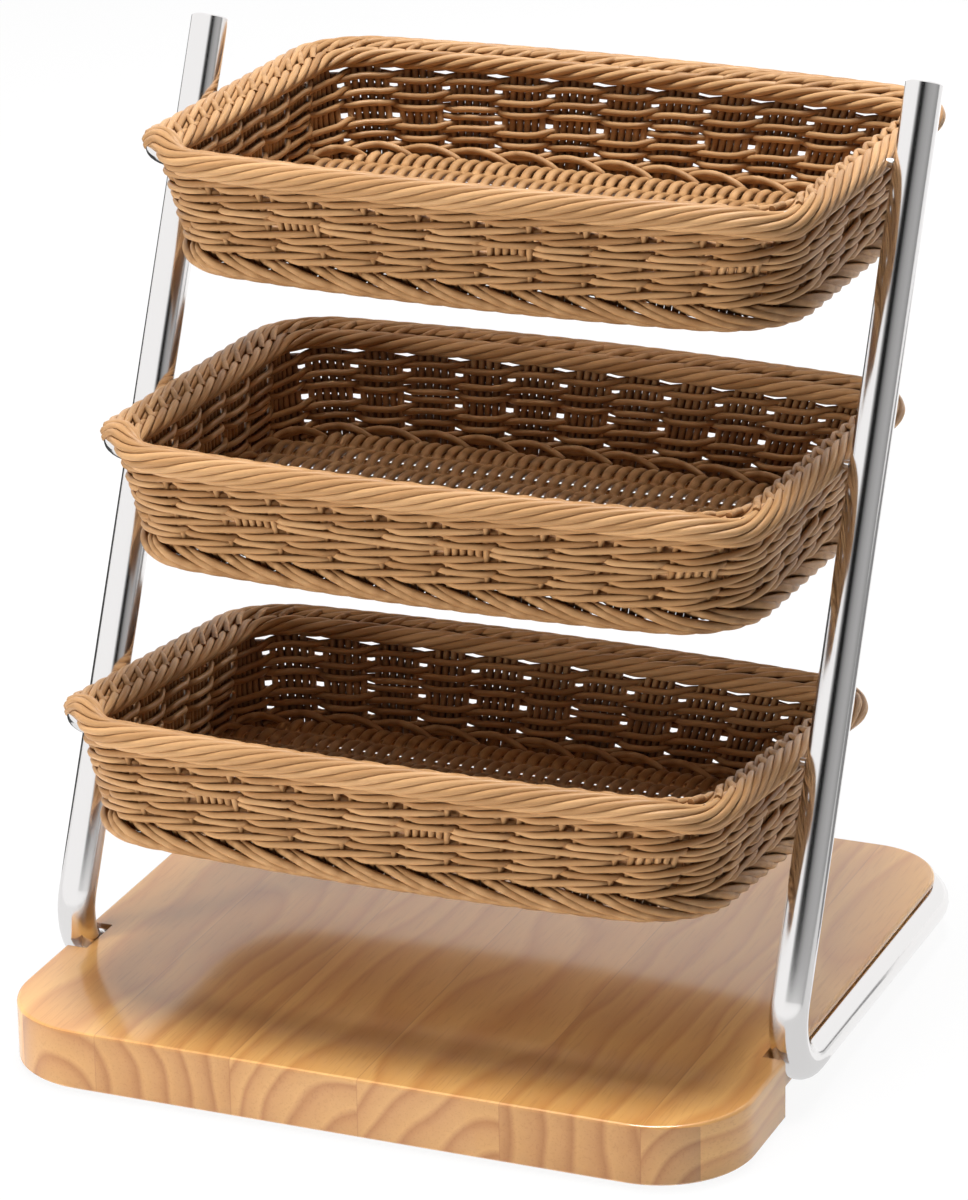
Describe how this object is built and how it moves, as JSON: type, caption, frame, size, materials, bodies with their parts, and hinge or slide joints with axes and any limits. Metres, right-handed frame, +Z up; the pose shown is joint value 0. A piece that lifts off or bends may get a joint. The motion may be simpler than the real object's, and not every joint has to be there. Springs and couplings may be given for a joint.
{
  "type": "bread rack",
  "caption": "Countertop bread rack with woven baskets that lift out of wire rings on a leaning bent tube frame over a wooden board.",
  "frame": {"origin": "on the floor under the middle of the rack's own box", "axes": "+Z up; the front of the rack faces -Y; +X to the right seen from the front"},
  "size_m": [0.4, 0.4109, 0.4672],
  "materials": {
    "rubberwood": "glossy clear varnish over glued staves",
    "polished_steel": "mirror-polished stainless steel",
    "woven_strand": "woven caramel strands with a soft sheen",
    "pad_rubber": "soft anti-slip rubber",
    "screw_steel": "plain stainless screw"
  },
  "bodies": {
    "stand": {"board": "rubberwood", "frame_tube": "polished_steel", "end_caps": "polished_steel", "rear_screws": "screw_steel", "anti_slip_pads": "pad_rubber", "top_ring": "polished_steel", "middle_ring": "polished_steel", "bottom_ring": "polished_steel"},
    "top_basket": {"top_basket_border": "woven_strand", "top_basket_stakes": "woven_strand", "top_basket_weavers": "woven_strand", "top_basket_foot": "woven_strand", "top_basket_floor": "woven_strand"},
    "middle_basket": {"middle_basket_border": "woven_strand", "middle_basket_stakes": "woven_strand", "middle_basket_weavers": "woven_strand", "middle_basket_foot": "woven_strand", "middle_basket_floor": "woven_strand"},
    "bottom_basket": {"bottom_basket_border": "woven_strand", "bottom_basket_stakes": "woven_strand", "bottom_basket_weavers": "woven_strand", "bottom_basket_foot": "woven_strand", "bottom_basket_floor": "woven_strand"}
  },
  "joints": [
    {"name": "top_basket_lift", "type": "slide", "parent": "stand", "child": "top_basket", "axis": [0, 0.0244, 0.9997], "range_m": [0, 0.12]},
    {"name": "middle_basket_lift", "type": "slide", "parent": "stand", "child": "middle_basket", "axis": [0, 0.0401, 0.9992], "range_m": [0, 0.05]},
    {"name": "bottom_basket_lift", "type": "slide", "parent": "stand", "child": "bottom_basket", "axis": [0, 0.1149, 0.9934], "range_m": [0, 0.05]}
  ]
}
